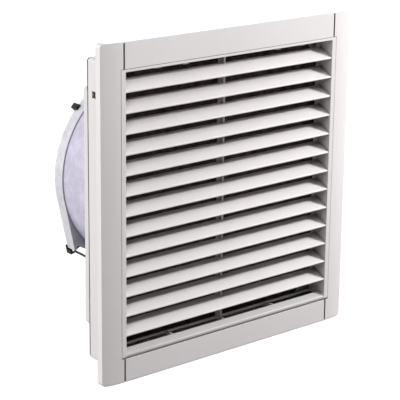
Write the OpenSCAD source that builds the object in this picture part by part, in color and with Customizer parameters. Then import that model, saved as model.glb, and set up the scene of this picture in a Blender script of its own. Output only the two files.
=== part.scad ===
// Filter fan for the wall of an equipment enclosure.
// X runs to the right seen from the front, Y runs into the enclosure, Z is up.
// The origin is the centre of the panel cut-out, on the panel's front face.

/* [Cover] */
// How far the cover reaches past the cut-out at each side
cover_side_reach = 12.5; // [9:0.5:25]
// How far the cover reaches past the cut-out at the top and the bottom
cover_end_reach = 22.5; // [18:0.5:35]
// Corner radius of the front cover
cover_corner_r = 4; // [3:0.5:12]
// Width of the cover's side rails, up to the window
side_rail_w = 21; // [18:0.1:26]
// Height of the header plate above the window
top_header_h = 25.7; // [22:0.1:30]
// Height of the header plate below the window
bottom_header_h = 23.9; // [22:0.1:30]
// Distance from the panel to the flat front of the header plates
front_depth = 36; // [34:0.5:44]
// How far the outer edge of each side rail lies behind the header plates
rail_drop = 3.4; // [1:0.1:5]
// Distance from the panel to the rear edge of the cover's skirt
skirt_gap = 25.5; // [18:0.5:27]
// Wall thickness of the cover
cover_wall = 3; // [2:0.1:4]
// Width of the seam grooves beside the header plates
groove_w = 1.8; // [0.8:0.1:3]
// Depth of the seam grooves
groove_depth = 2.2; // [0.5:0.1:2.4]

/* [Louvre insert] */
// Clearance between the insert and the window
door_clearance = 0.4; // [0.3:0.05:1]
// Number of slats
slat_count = 13; // [9:1:15]
// Length of a slat's section along its slope
slat_chord = 20; // [14:0.5:22]
// Thickness of a slat
slat_t = 2.4; // [1.6:0.1:3]
// Upward tilt of the slats towards the back, in degrees
slat_tilt = 27; // [15:1:35]
// Width of the strips at both ends of the slats
strip_w = 5.1; // [4:0.1:8]
// Thickness of the insert's side walls
door_wall = 2.4; // [1.6:0.1:3.2]
// Height of the bar above the top air gap
top_bar_h = 2.5; // [1.8:0.1:4]
// Distance between the insert's vertical ribs
rib_pitch = 67; // [40:1:80]
// Diameter of the hinge pins
hinge_pin_d = 2.6; // [2:0.1:3]

/* [Base] */
// Width and height of the panel cut-out
cutout = 291; // [265:1:310]
// Clearance between the base and each side of the cut-out
cutout_clearance = 0.5; // [0.3:0.1:2]
// Overlap of the flange over each side of the cut-out
flange_lap = 4.5; // [3:0.5:5]
// Wall thickness of the base
base_wall = 2.5; // [2:0.1:3.5]
// Depth of the base's straight sides behind the panel
body_depth = 12.5; // [12:0.5:14]
// Cut corner of the base, measured along each side
corner_cut = 29; // [24:1:32]
// Thickness of the gasket
gasket_t = 2; // [1:0.5:3]
// Distance from the side of the base to the round plenum
plenum_inset = 7; // [5:0.5:9]
// Length of a panel clip, from its pin to its tip
clip_len = 7.8; // [7:0.1:8.5]
// Width of a panel clip
clip_w = 18; // [12:1:24]
// Distance of the panel clips from the centre
clip_x = 80; // [50:1:90]
// Height of the side windows above the centre
window_z = 116; // [80:1:117]

/* [Filter] */
// Thickness of the filter mat
mat_t = 16; // [12:0.5:17]
// Pitch of the support grid
grid_pitch = 20; // [12:0.5:26]
// Width of a bar of the support grid
grid_bar = 1.8; // [1.2:0.1:3]
// Thickness of the support grid
grid_t = 4; // [3:0.5:5]

/* [Fan] */
// Inner radius of the fan's duct
duct_r = 101.5; // [96:0.5:103]
// Thickness of the duct's wall
duct_wall = 2.8; // [2:0.1:3.5]
// Depth of the fan housing
fan_len = 80; // [78:0.5:84]
// Distance from the panel to the fan housing
fan_seat = 42.5; // [40:0.5:46]
// Distance of the fan's axis below the centre
fan_drop = 4; // [0:0.5:8]
// Radius of the fan's mounting flange
flange_r = 121; // [119:0.5:124]
// Radius of the circle of the four mounting screws
screw_circle_r = 115.5; // [114.5:0.5:117]
// Width of the band round the rear rim
rim_w = 13.3; // [10:0.1:16]
// Number of blades
blade_count = 7; // [5:1:9]
// Angle of the blades to the plane of rotation, in degrees
blade_pitch = 28; // [18:1:32]
// Thickness of the blades
blade_t = 1.5; // [1:0.1:2]
// Gap between the blade tips and the duct
tip_gap = 1.8; // [1:0.1:4]
// Radius of the rotor can
rotor_r = 46; // [44:0.5:47]
// Radius of the motor shaft
shaft_r = 4; // [3:0.5:5]
// Diameter of the guard's wire
wire_d = 2.2; // [1.6:0.1:2.4]
// Pitch of the guard's rings
guard_pitch = 12; // [9:0.5:18]
// Diameter of the motor cable
cable_d = 2.4; // [2:0.1:3]

/* [Hidden] */
$fn = 96;

// Small clearances
seat_gap = 0.3;
run_gap = 0.05;

// Cover
cover_w = cutout + 2 * cover_side_reach;
cover_h = cutout + 2 * cover_end_reach;
window_w = cover_w - 2 * side_rail_w;
window_top = cover_h / 2 - top_header_h;
window_bottom = cover_h / 2 - bottom_header_h;
front_y = -front_depth;
skirt_y = -skirt_gap;
groove_inset = 3.7;
rail_start = window_w / 2 - groove_inset;
rail_w = cover_w / 2 - rail_start;
rail_r = (rail_w * rail_w + rail_drop * rail_drop) / (2 * rail_drop);
rail_over = 2;
groove_end = 1.2;
window_rim_y = front_y + 20;
window_rim_t = 2.2;
pry_notch = [1.2, 7];
pry_z = 96.5;

// Louvre insert
door_w = window_w - 2 * door_clearance;
door_top = window_top - door_clearance;
door_bottom = window_bottom - seat_gap;
door_rear_y = front_y + 24;
strip_x = door_w / 2 - strip_w;
barrel_r = hinge_pin_d / 2 + 1.3;
hinge_y = front_y + barrel_r;
hinge_z = -door_bottom + barrel_r;
first_gap_top = door_top - top_bar_h;
sill_len = 6.6;
slat_pitch = (first_gap_top + door_bottom - 2) / (slat_count + 1);
rib_t = 2;
rib_y = door_rear_y - 9;
rear_bar_top = hinge_z + 3.1;
pin_hold = 8;
latch_arm = 30;
latch_root_x = 62;
latch_t = 2;
crown_w = 7;

// Base
cut_half = cutout / 2;
body_half = cut_half - cutout_clearance;
flange_half = cut_half + flange_lap;
flange_corner_r = 4;
flange_wall = 3;
gasket_inset = 1.5;
plenum_r = body_half - plenum_inset;
flange_front_y = front_y + 8;
flange_rear_y = -gasket_t;
plate_y = body_depth - base_wall;
seat_wall = 3;
seat_bore_r = duct_r + 8.5;
boss_r = 5.5;
boss_len = 12;
screw_r = 2;
hook_w = 12;
hook_t = 2.6;
hook_window = [hook_w + 1, 7];
hook_y = -12;
bottom_hook_x = 90;
seat_pad = 5;
seat_pad_heights = [-flange_half + 20, -60, 60];
side_window_h = 6.6;

// Panel clips
clip_t = 1.6;
clip_pin_r = 0.8;
clip_knuckle_r = 1.7;
clip_pin_y = body_depth - 2.1;
clip_pin_z = body_half - clip_knuckle_r;
clip_rise = 22;
clip_pocket = clip_w + 1;
clip_cheek = 3;

// Filter
grid_front_y = plate_y - grid_t;
mat_front_y = grid_front_y - seat_gap - mat_t;

// Fan housing
fan_rear = fan_seat + fan_len;
duct_out = duct_r + duct_wall;
mouth_r = seat_bore_r - duct_r;
rim_y = fan_rear - rim_w;
rim_r = duct_out + 1.4;
hub_r = 44;
hub_recess = 12.5;
hub_y = fan_rear - hub_recess;
hub_t = 4;
strut_depth = 8;
strut_t = 5;
strut_sweep_r = 62;
channel_w = 9;
lug_end = [-91, -77.5];
lug_wall = 3.4;
lug_r = rim_r - 0.15;
lug_start = atan2(lug_end[1], lug_end[0]) + 360 - acos(lug_r / norm(lug_end));
clip_shell = 1.4;
lug_web_t = 3;
lug_angle = 225;
ear_r = 7;

// Motor
flange_disc_r = 41;
flange_disc_t = 5;
tube_r = 14;
bearing_r = 11;
bearing_w = 7;
tube_len = 46;
tube_front_y = hub_y - tube_len;
stator_r = 38;
stator_reach = 40;
stator_y = hub_y - stator_reach;
stator_len = 22;
slot_count = 12;
slot_w = 5;
slot_root = 8;
slot_tip = 4;
slot_mouth_w = 2;
winding_over = 4;
air_gap = 0.6;
can_wall = 3.2;
can_reach = 52;
can_gap = 10;
can_front_y = hub_y - can_reach;
can_rear_y = hub_y - can_gap;
hub_boss_r = 9;
motor_screw_r = 1.6;
motor_screw_circle = 30;

// Impeller
band_t = 2.4;
band_front_y = can_front_y + 4;
band_len = 34;
blade_y = band_front_y + band_len / 2;
tip_r = duct_r - tip_gap;
camber_r = 95;
blade_half_angle = 19;
blade_sweep = 16;
blade_span_y = 60;

// Guard
guard_y = fan_rear + wire_d / 2 + seat_gap;
guard_inner_r = 15.5;
guard_outer_r = duct_out;
guard_spoke_angles = [45, 137, 315];
guard_clip_t = 1.2;
guard_clip_w = 6;
rivet_r = 1.1;
rivet_y = fan_rear - 2.4;

// Supply terminals
terminal_gap = 11.2;
terminal_size = [34, 16, 16];
terminal_r = plenum_r + fan_drop * sin(45) + terminal_size[2] / 2 + terminal_gap;
terminal_pitch = 10.5;
terminal_screw_r = 2;

// Route of the motor cable, from the motor to the terminals
cable_route = [
    [-11, 110.3, -15], [-11.2, 113, -15.2], [-12.4, 115.8, -16.4], [-15, 117.6, -19], [-19, 118, -23],
    [-28, 118, -32], [-38, 118, -42], [-48, 118, -52], [-58, 118, -62], [-67, 118, -71],
    [-75, 118.2, -78.4], [-80.5, 118.4, -82], [-84.5, 118, -83.6], [-87, 116, -84], [-88, 112.6, -84],
    [-88, 106, -84], [-88, 98, -84.2], [-88, 90, -84.8], [-88, 82, -86.2], [-88.4, 74, -88.4],
    [-89.4, 66, -91], [-91, 58, -93.8], [-93, 50, -96.4], [-95, 42, -98.4], [-96.6, 35, -99.4],
    [-97.6, 29, -99.6], [-98.6, 24.4, -99.8], [-100.4, 21.4, -100.8], [-103.4, 20.5, -103.4],
    [-107, 20.5, -107], [-110.6, 20.5, -110.6]
];
cable_sides = 8;

// Shared shapes

module rounded_rect(w, h, r) {
    square([w - 2 * r, h], center = true);
    square([w, h - 2 * r], center = true);
    for (sx = [-1, 1])
        for (sz = [-1, 1])
            translate([sx * (w / 2 - r), sz * (h / 2 - r)])
                circle(r);
}

module cut_corner_square(half, cut) {
    polygon([
        [-half + cut, -half], [half - cut, -half], [half, -half + cut], [half, half - cut],
        [half - cut, half], [-half + cut, half], [-half, half - cut], [-half, -half + cut]
    ]);
}

// An outline drawn in X and Z, as deep as y0 to y1
module along_y(y0, y1) {
    translate([0, y1, 0])
        rotate([90, 0, 0])
            linear_extrude(y1 - y0)
                children();
}

// A section drawn in Y and Z, as wide as x0 to x1
module along_x(x0, x1) {
    translate([x0, 0, 0])
        rotate([90, 0, 90])
            linear_extrude(x1 - x0)
                children();
}

// The fan's own frame: its axis points into the enclosure and keeps the Y positions
module on_fan_axis() {
    translate([0, 0, -fan_drop])
        rotate([-90, 0, 0])
            children();
}

// A plate outline of the fan, drawn in X and Z about its axis
module fan_plate(y0, y1) {
    translate([0, 0, -fan_drop])
        along_y(y0, y1)
            children();
}

module rod_y(r, y0, y1) {
    translate([0, y1, 0])
        rotate([90, 0, 0])
            cylinder(r = r, h = y1 - y0);
}

module rod_x(r, x0, x1) {
    translate([x0, 0, 0])
        rotate([0, 90, 0])
            cylinder(r = r, h = x1 - x0);
}

// Front cover

module rail_section(inset) {
    for (s = [-1, 1])
        intersection() {
            translate([s * rail_start, front_y + rail_r])
                circle(rail_r - inset, $fn = 360);
            translate([s > 0 ? rail_start : -cover_w / 2 - rail_over, front_y])
                square([rail_w + rail_over, skirt_y - front_y]);
        }
}

module cover_section(inset) {
    rail_section(inset);
    translate([-rail_start, front_y + inset])
        square([2 * rail_start, skirt_y - front_y - inset]);
}

module cover_shell() {
    difference() {
        intersection() {
            translate([0, 0, -cover_h / 2])
                linear_extrude(cover_h)
                    cover_section(0);
            along_y(front_y, skirt_y)
                rounded_rect(cover_w, cover_h, cover_corner_r);
        }
        intersection() {
            translate([0, 0, -cover_h / 2])
                linear_extrude(cover_h)
                    cover_section(cover_wall);
            along_y(front_y, skirt_y + 1)
                rounded_rect(cover_w - 2 * cover_wall, cover_h - 2 * cover_wall, cover_corner_r - cover_wall + 0.5);
        }
    }
}

module window_outline(grow) {
    translate([-window_w / 2 - grow, -window_bottom - grow])
        square([window_w + 2 * grow, window_top + window_bottom + 2 * grow]);
}

module window_rim() {
    along_y(front_y + cover_wall / 2, window_rim_y)
        window_outline(window_rim_t);
}

module header_grooves() {
    for (s = [-1, 1])
        for (span = [[window_top, cover_h / 2 - groove_end], [-cover_h / 2 + groove_end, -window_bottom]])
            translate([s * rail_start - groove_w / 2, front_y - 1, span[0]])
                cube([groove_w, groove_depth + 1, span[1] - span[0]]);
}

// A snap hook behind the cover, with its nose towards +X
module snap_hook() {
    arm_out = flange_half - flange_wall - seat_gap;
    translate([arm_out - hook_t, front_y + cover_wall - 1, -hook_w / 2])
        cube([hook_t, hook_y + 3.2 - front_y - cover_wall + 1, hook_w]);
    translate([0, 0, -side_window_h / 2 + seat_gap])
        linear_extrude(side_window_h - 2 * seat_gap)
            polygon([
                [arm_out - 0.5, hook_y - 3], [arm_out + 2, hook_y - 3],
                [arm_out + 2, hook_y], [arm_out - 0.5, hook_y + 3.2]
            ]);
}

// Pads behind the cover that rest on the rim of the base
module seat_pads() {
    for (s = [-1, 1])
        for (z = seat_pad_heights)
            translate([s * (flange_half - flange_wall / 2) - seat_pad / 2, front_y + cover_wall - 1, z - seat_pad / 2])
                cube([seat_pad, flange_front_y - front_y - cover_wall + 1, seat_pad]);
}

module hinge_bosses() {
    for (s = [-1, 1])
        translate([s > 0 ? window_w / 2 : -window_w / 2 - pin_hold, front_y + 1, hinge_z - barrel_r - 1.5])
            cube([pin_hold, 2 * barrel_r + 1, 2 * barrel_r + 3]);
}

// Notches in the rear edge of the skirt, for the tool that pries the cover off
module pry_notches() {
    for (s = [-1, 1])
        translate([s * cover_w / 2, skirt_y, pry_z])
            cube([2 * cover_wall + 2, 2 * pry_notch[0], pry_notch[1]], center = true);
}

module bezel_frame() {
    color([0.86, 0.84, 0.83])
        difference() {
            union() {
                cover_shell();
                window_rim();
                hinge_bosses();
                seat_pads();
                for (s = [0, 180])
                    rotate([0, s, 0])
                        translate([0, 0, s > 0 ? -window_z : window_z])
                            snap_hook();
                for (s = [-1, 1])
                    translate([s * bottom_hook_x, 0, 0])
                        rotate([0, 90, 0])
                            snap_hook();
            }
            along_y(front_y - 1, window_rim_y + 1)
                window_outline(0);
            header_grooves();
            pry_notches();
            for (s = [-1, 1])
                translate([s * window_w / 2, hinge_y, hinge_z])
                    rotate([0, s * 90, 0])
                        cylinder(r = hinge_pin_d / 2 + run_gap, h = pin_hold - 1);
        }
}

// Louvre insert

module slat_section(len) {
    rotate(slat_tilt)
        translate([0, -slat_t / 2])
            square([len - slat_t, slat_t]);
    circle(slat_t / 2);
    rotate(slat_tilt)
        translate([len - slat_t, 0])
            circle(slat_t / 2);
}

module slats() {
    for (i = [0 : slat_count - 1])
        along_x(-strip_x - 1, strip_x + 1)
            translate([front_y + slat_t / 2 + 0.4, first_gap_top - (i + 1) * slat_pitch + slat_t / 2])
                slat_section(slat_chord);
}

module sill() {
    along_x(-door_w / 2, door_w / 2)
        translate([hinge_y, hinge_z])
            circle(barrel_r);
    along_x(-strip_x - 1, strip_x + 1)
        translate([hinge_y, hinge_z])
            rotate(slat_tilt)
                translate([0, barrel_r - slat_t])
                    square([sill_len, slat_t]);
}

module side_walls() {
    for (s = [-1, 1]) {
        along_x(s > 0 ? strip_x : -strip_x - door_wall, s > 0 ? strip_x + door_wall : -strip_x)
            polygon([
                [front_y, hinge_z], [door_rear_y, hinge_z + 1], [door_rear_y, first_gap_top - 2],
                [front_y + 6, door_top], [front_y, door_top]
            ]);
        translate([s > 0 ? strip_x : -door_w / 2, front_y, hinge_z])
            cube([strip_w, door_wall, door_top - hinge_z]);
    }
}

module top_bar() {
    translate([-door_w / 2, front_y, first_gap_top])
        cube([door_w, cover_wall, top_bar_h]);
}

module latch_roots() {
    for (s = [-1, 1])
        translate([s > 0 ? latch_root_x - 6 : -latch_root_x, front_y + cover_wall - 1, first_gap_top - 1.6])
            cube([6, 7, top_bar_h + 1.2]);
}

module latch_notches() {
    for (s = [-1, 1])
        translate([s * (latch_root_x + latch_arm) - crown_w / 2 - 0.5, front_y + 1.4, first_gap_top - 1])
            cube([crown_w + 1, cover_wall, top_bar_h + 2]);
}

// A rib up the middle, bars behind the top and bottom slats, and three tabs behind the sill
module rear_ribs() {
    translate([-rib_t / 2, rib_y, rear_bar_top - 2])
        cube([rib_t, door_rear_y - rib_y, first_gap_top - rear_bar_top]);
    for (x = [-rib_pitch, 0, rib_pitch])
        along_x(x - rib_t / 2, x + rib_t / 2)
            polygon([
                [hinge_y, hinge_z], [door_rear_y - 1, rear_bar_top - 1.6],
                [door_rear_y - 1, rear_bar_top], [hinge_y + 4, hinge_z + barrel_r + 2]
            ]);
    translate([-strip_x - 1, door_rear_y - 2, rear_bar_top - 2])
        cube([2 * strip_x + 2, 2, 2]);
    translate([-strip_x - 1, rib_y, first_gap_top - 3])
        cube([2 * strip_x + 2, door_rear_y - rib_y, 1.6]);
}

module louvre_door() {
    color([0.9, 0.88, 0.87])
        difference() {
            union() {
                slats();
                sill();
                side_walls();
                top_bar();
                latch_roots();
                rear_ribs();
            }
            latch_notches();
            for (s = [-1, 1])
                translate([s * (door_w / 2 + 1), hinge_y, hinge_z])
                    rotate([0, -s * 90, 0])
                        cylinder(r = hinge_pin_d / 2 + run_gap, h = 14);
        }
}

module hinge_pins() {
    color([0.7, 0.7, 0.72])
        for (s = [-1, 1])
            translate([s > 0 ? window_w / 2 - 12 : -window_w / 2 - pin_hold + 1.2, hinge_y, hinge_z])
                rod_x(hinge_pin_d / 2, 0, 12 + pin_hold - 1.2);
}

// Sprung catch of the insert: its crown presses up against the cover's header plate
module door_latch(s) {
    pivot_x = latch_root_x + seat_gap + latch_t / 2;
    arm_z = first_gap_top - 0.2;
    arm_y = front_y + cover_wall + 0.4;
    arm_d = 5;
    color([0.88, 0.86, 0.85])
        scale([s, 1, 1])
            union() {
                translate([pivot_x, 0, arm_z])
                    rod_y(latch_t / 2, arm_y, arm_y + arm_d);
                translate([pivot_x, arm_y, arm_z - latch_t / 2])
                    cube([latch_arm + crown_w / 2, arm_d, latch_t]);
                translate([latch_root_x + latch_arm - crown_w / 2, front_y + 1.9, arm_z - latch_t / 2])
                    cube([crown_w, arm_y + arm_d - front_y - 1.9, door_top - arm_z + latch_t / 2]);
            }
}

module door_latch_left() {
    door_latch(-1);
}

module door_latch_right() {
    door_latch(1);
}

// Filter

module filter_mat() {
    color([0.3, 0.3, 0.31])
        along_y(mat_front_y, mat_front_y + mat_t)
            cut_corner_square(body_half - base_wall - 1, corner_cut);
}

module filter_grid() {
    grid_half = body_half - base_wall - 3.5;
    bars = floor((grid_half - 6) / grid_pitch);
    color([0.85, 0.83, 0.82])
        along_y(grid_front_y, plate_y)
            intersection() {
                cut_corner_square(grid_half, corner_cut);
                union() {
                    difference() {
                        cut_corner_square(grid_half, corner_cut);
                        cut_corner_square(grid_half - 6, corner_cut - 2);
                    }
                    for (i = [-bars : bars]) {
                        translate([i * grid_pitch - grid_bar / 2, -grid_half])
                            square([grid_bar, 2 * grid_half]);
                        translate([-grid_half, i * grid_pitch - grid_bar / 2])
                            square([2 * grid_half, grid_bar]);
                    }
                }
            }
}

// Base

module flange_ring() {
    difference() {
        along_y(flange_front_y, flange_rear_y)
            rounded_rect(2 * flange_half, 2 * flange_half, flange_corner_r);
        along_y(flange_front_y - 1, flange_rear_y - flange_wall)
            rounded_rect(2 * (flange_half - flange_wall), 2 * (flange_half - flange_wall), 2);
        along_y(flange_rear_y - flange_wall - 1, flange_rear_y + 1)
            cut_corner_square(body_half - base_wall, corner_cut);
    }
}

module body_walls() {
    difference() {
        along_y(flange_rear_y - 1, body_depth)
            cut_corner_square(body_half, corner_cut);
        along_y(flange_rear_y - 2, plate_y)
            cut_corner_square(body_half - base_wall, corner_cut);
        fan_plate(plate_y - 1, body_depth + 1)
            circle(plenum_r - base_wall);
    }
}

// The conical plenum and the seat of the fan, as one turned section
module plenum() {
    on_fan_axis()
        rotate_extrude()
            polygon([
                [plenum_r - base_wall, plate_y + 0.5], [plenum_r, plate_y + 0.5],
                [flange_r, fan_seat - seat_wall], [flange_r, fan_seat],
                [seat_bore_r, fan_seat], [seat_bore_r, fan_seat - seat_wall],
                [flange_r - base_wall, fan_seat - seat_wall]
            ]);
}

module seat_bosses(r, y0, y1) {
    for (a = [45 : 90 : 315])
        translate([screw_circle_r * cos(a), 0, screw_circle_r * sin(a) - fan_drop])
            rod_y(r, y0, y1);
}

module side_windows() {
    for (s = [-1, 1])
        translate([s * flange_half, hook_y, window_z])
            cube([4 * flange_wall, hook_window[1], side_window_h], center = true);
    for (s = [-1, 1])
        translate([s * bottom_hook_x, hook_y, -flange_half])
            cube([side_window_h, hook_window[1], 4 * flange_wall], center = true);
}

module clip_positions() {
    for (sx = [-1, 1])
        for (turn = [0, 180])
            rotate([0, turn, 0])
                translate([sx * clip_x, 0, 0])
                    children();
}

module clip_cheeks() {
    clip_positions()
        for (s = [-1, 1])
            translate([s * (clip_pocket / 2 + clip_cheek / 2), (clip_pin_y - 3 + plate_y) / 2, body_half - 2.6])
                cube([clip_cheek, plate_y - clip_pin_y + 3 + 1, 5.2], center = true);
}

module clip_pockets() {
    clip_positions()
        translate([-clip_pocket / 2, 1.2, body_half - base_wall - 1.5])
            cube([clip_pocket, body_depth, base_wall + 3]);
}

module base_frame() {
    color([0.87, 0.85, 0.84])
        difference() {
            union() {
                flange_ring();
                body_walls();
                plenum();
                clip_cheeks();
                seat_bosses(boss_r, fan_seat - boss_len, fan_seat);
            }
            side_windows();
            clip_pockets();
            clip_positions()
                translate([0, clip_pin_y, clip_pin_z])
                    rod_x(clip_pin_r + run_gap, -clip_pocket / 2 - clip_cheek + 0.5, clip_pocket / 2 + clip_cheek - 0.5);
            seat_bosses(screw_r + run_gap, fan_seat - boss_len + 1, fan_seat + 1);
        }
}

module gasket() {
    color([0.12, 0.12, 0.12])
        along_y(flange_rear_y, 0)
            difference() {
                rounded_rect(
                    2 * (flange_half - gasket_inset), 2 * (flange_half - gasket_inset),
                    flange_corner_r - gasket_inset
                );
                square(cutout, center = true);
            }
}

// Sprung clip that grips behind the panel
module panel_clip(side, top) {
    color([0.62, 0.63, 0.65])
        rotate([0, top > 0 ? 0 : 180, 0])
            translate([side * top * clip_x, clip_pin_y, clip_pin_z])
                difference() {
                    union() {
                        rod_x(clip_knuckle_r, -clip_w / 2, clip_w / 2);
                        along_x(-clip_w / 2, clip_w / 2)
                            rotate(180 - clip_rise)
                                translate([0, -clip_t / 2])
                                    square([clip_len, clip_t]);
                        along_x(-clip_w / 2, clip_w / 2)
                            rotate(180 - clip_rise)
                                translate([clip_len, 0])
                                    circle(clip_t / 2);
                    }
                    rod_x(clip_pin_r + run_gap, -clip_w / 2 - 1, clip_w / 2 + 1);
                }
}

module panel_clip_top_left() {
    panel_clip(-1, 1);
}

module panel_clip_top_right() {
    panel_clip(1, 1);
}

module panel_clip_bottom_left() {
    panel_clip(-1, -1);
}

module panel_clip_bottom_right() {
    panel_clip(1, -1);
}

module clip_pins() {
    color([0.7, 0.7, 0.72])
        clip_positions()
            translate([0, clip_pin_y, clip_pin_z])
                rod_x(clip_pin_r, -clip_pocket / 2 - clip_cheek + 0.8, clip_pocket / 2 + clip_cheek - 0.8);
}

// Fan housing

// Wall of the duct with its rounded mouth, mounting flange and rim band
module duct_section() {
    mouth_y = fan_seat + mouth_r;
    translate([duct_r, mouth_y])
        square([duct_wall, fan_rear - mouth_y]);
    intersection() {
        translate([seat_bore_r, mouth_y])
            difference() {
                circle(mouth_r);
                circle(mouth_r - duct_wall);
            }
        translate([duct_r, fan_seat])
            square([mouth_r, mouth_r]);
    }
    translate([seat_bore_r, fan_seat])
        square([flange_r - seat_bore_r, duct_wall]);
    translate([duct_r + 1, rim_y])
        square([rim_r - duct_r - 1, rim_w]);
}

module swept_struts() {
    intersection() {
        fan_plate(fan_rear - strut_depth - 1, fan_rear - 1)
            difference() {
                circle(duct_r + 1);
                circle(hub_r - 1);
            }
        for (a = [0 : 90 : 270])
            fan_plate(fan_rear - strut_depth - 1, fan_rear - 1)
                rotate(a)
                    translate([hub_r + strut_sweep_r / 2, -strut_sweep_r / 2 + 4])
                        difference() {
                            circle(strut_sweep_r);
                            circle(strut_sweep_r - strut_t);
                            translate([-2 * strut_sweep_r, -2 * strut_sweep_r])
                                square([4 * strut_sweep_r, 2 * strut_sweep_r]);
                        }
    }
}

module cable_strut() {
    fan_plate(fan_rear - strut_depth - 1, fan_rear - 1)
        rotate(lug_angle)
            translate([hub_r - 2, -channel_w / 2])
                square([duct_r - hub_r + 3, channel_w]);
}

module cable_channel() {
    fan_plate(fan_rear - strut_depth + 1, fan_rear + 1)
        rotate(lug_angle)
            translate([18, -cable_d / 2 - 1])
                square([rim_r + 20 - 18, cable_d + 2]);
}

module hub() {
    fan_plate(hub_y, hub_y + hub_t)
        circle(hub_r);
    fan_plate(hub_y, fan_rear - 1)
        difference() {
            circle(hub_r);
            circle(hub_r - 3);
        }
}

// Lug at the lower left: a straight leg that leaves the rim tangentially, and its web
module cable_lug() {
    touch = [lug_r * cos(lug_start), lug_r * sin(lug_start)];
    along = [-sin(lug_start), cos(lug_start)];
    inward = [-cos(lug_start), -sin(lug_start)];
    fan_plate(rim_y, fan_rear)
        polygon([touch, lug_end, lug_end + inward * lug_wall, touch + inward * lug_wall]);
    fan_plate(rim_y, rim_y + lug_web_t)
        polygon([
            touch + inward * 1.5, lug_end - along * 6 + inward * 1.5, [-78, -78],
            [(duct_out - 1) * cos(232), (duct_out - 1) * sin(232)],
            [(duct_out - 1) * cos(210), (duct_out - 1) * sin(210)]
        ]);
}

module housing_ears() {
    for (a = [45 : 90 : 315])
        translate([screw_circle_r * cos(a), 0, screw_circle_r * sin(a) - fan_drop])
            rod_y(ear_r, fan_seat, fan_seat + duct_wall + 1.2);
}

module motor_screw_places() {
    for (a = [0 : 90 : 270])
        translate([motor_screw_circle * cos(a), 0, motor_screw_circle * sin(a) - fan_drop])
            children();
}

module fan_housing() {
    color([0.72, 0.7, 0.76])
        difference() {
            union() {
                on_fan_axis()
                    rotate_extrude($fn = 180)
                        duct_section();
                housing_ears();
                swept_struts();
                cable_strut();
                hub();
                cable_lug();
            }
            cable_channel();
            fan_plate(hub_y - 1, fan_rear + 1)
                circle(20);
            motor_screw_places()
                rod_y(motor_screw_r + 0.2, hub_y - 1, fan_rear);
            seat_bosses(screw_r + 0.2, fan_seat - 1, fan_seat + 8);
            guard_places()
                translate([0, rivet_y, 0])
                    rod_x(rivet_r + run_gap, duct_r - 2, rim_r + 2);
            earth_place()
                rod_y(1.75, hub_y - 1, fan_rear);
        }
}

// A pan-head screw that points towards the front, with its head's seat at y = 0
module screw(r, len, head_r, head_h) {
    rod_y(r, -len, 0.2);
    difference() {
        rod_y(head_r, 0, head_h);
        for (a = [0, 90])
            rotate([0, a, 0])
                translate([0, head_h, 0])
                    cube([head_r * 1.2, head_h, r * 0.4], center = true);
    }
}

module housing_screws() {
    color([0.75, 0.75, 0.77])
        for (a = [45 : 90 : 315])
            translate([screw_circle_r * cos(a), fan_seat + duct_wall + 1.2, screw_circle_r * sin(a) - fan_drop])
                screw(screw_r, duct_wall + boss_len - 1.5, 3.8, 2.6);
}

// Motor

module motor_flange() {
    color([0.66, 0.66, 0.68])
        difference() {
            on_fan_axis()
                rotate_extrude()
                    polygon([
                        [bearing_r + run_gap, tube_front_y], [tube_r, tube_front_y],
                        [tube_r, hub_y - flange_disc_t - 3], [tube_r + 3, hub_y - flange_disc_t],
                        [flange_disc_r, hub_y - flange_disc_t], [flange_disc_r, hub_y],
                        [bearing_r + run_gap, hub_y],
                        [bearing_r + run_gap, hub_y - flange_disc_t - bearing_w],
                        [bearing_r - 1.5, hub_y - flange_disc_t - bearing_w],
                        [bearing_r - 1.5, tube_front_y + bearing_w + 0.5],
                        [bearing_r + run_gap, tube_front_y + bearing_w + 0.5]
                    ]);
            motor_screw_places()
                rod_y(motor_screw_r + run_gap, hub_y - flange_disc_t - 1, hub_y + 1);
        }
}

module motor_screws() {
    color([0.75, 0.75, 0.77])
        motor_screw_places()
            translate([0, hub_y + hub_t, 0])
                screw(motor_screw_r, hub_t + flange_disc_t - 0.5, 3, 2);
}

module slots(r0, r1, w) {
    for (i = [0 : slot_count - 1])
        rotate((i + 0.5) * 360 / slot_count)
            translate([r0, -w / 2])
                square([r1 - r0, w]);
}

module stator_core() {
    color([0.45, 0.45, 0.48])
        fan_plate(stator_y, stator_y + stator_len)
            difference() {
                circle(stator_r);
                circle(tube_r + run_gap);
                slots(tube_r + slot_root, stator_r - slot_tip, slot_w);
                slots(stator_r - slot_tip - 1, stator_r + 1, slot_mouth_w);
            }
}

module stator_windings() {
    inner = tube_r + slot_root + seat_gap;
    outer = stator_r - slot_tip - seat_gap;
    front = stator_y - winding_over;
    rear = stator_y + stator_len + winding_over + 1;
    color([0.7, 0.4, 0.2])
        union() {
            fan_plate(front, rear)
                slots(inner, outer, slot_w - 2 * seat_gap);
            for (span = [[front, stator_y - seat_gap], [stator_y + stator_len + seat_gap, rear]])
                fan_plate(span[0], span[1])
                    difference() {
                        circle(outer);
                        circle(inner - 2);
                    }
        }
}

module bearing(y0) {
    color([0.78, 0.78, 0.8])
        on_fan_axis()
            rotate_extrude()
                polygon([
                    [shaft_r + run_gap / 2, y0], [shaft_r + 2, y0], [shaft_r + 2, y0 + 0.5],
                    [bearing_r - 2, y0 + 0.5], [bearing_r - 2, y0], [bearing_r, y0],
                    [bearing_r, y0 + bearing_w], [bearing_r - 2, y0 + bearing_w],
                    [bearing_r - 2, y0 + bearing_w - 0.5], [shaft_r + 2, y0 + bearing_w - 0.5],
                    [shaft_r + 2, y0 + bearing_w], [shaft_r + run_gap / 2, y0 + bearing_w]
                ]);
}

module bearing_front() {
    bearing(tube_front_y + 0.5);
}

module bearing_rear() {
    bearing(hub_y - flange_disc_t - bearing_w);
}

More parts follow.
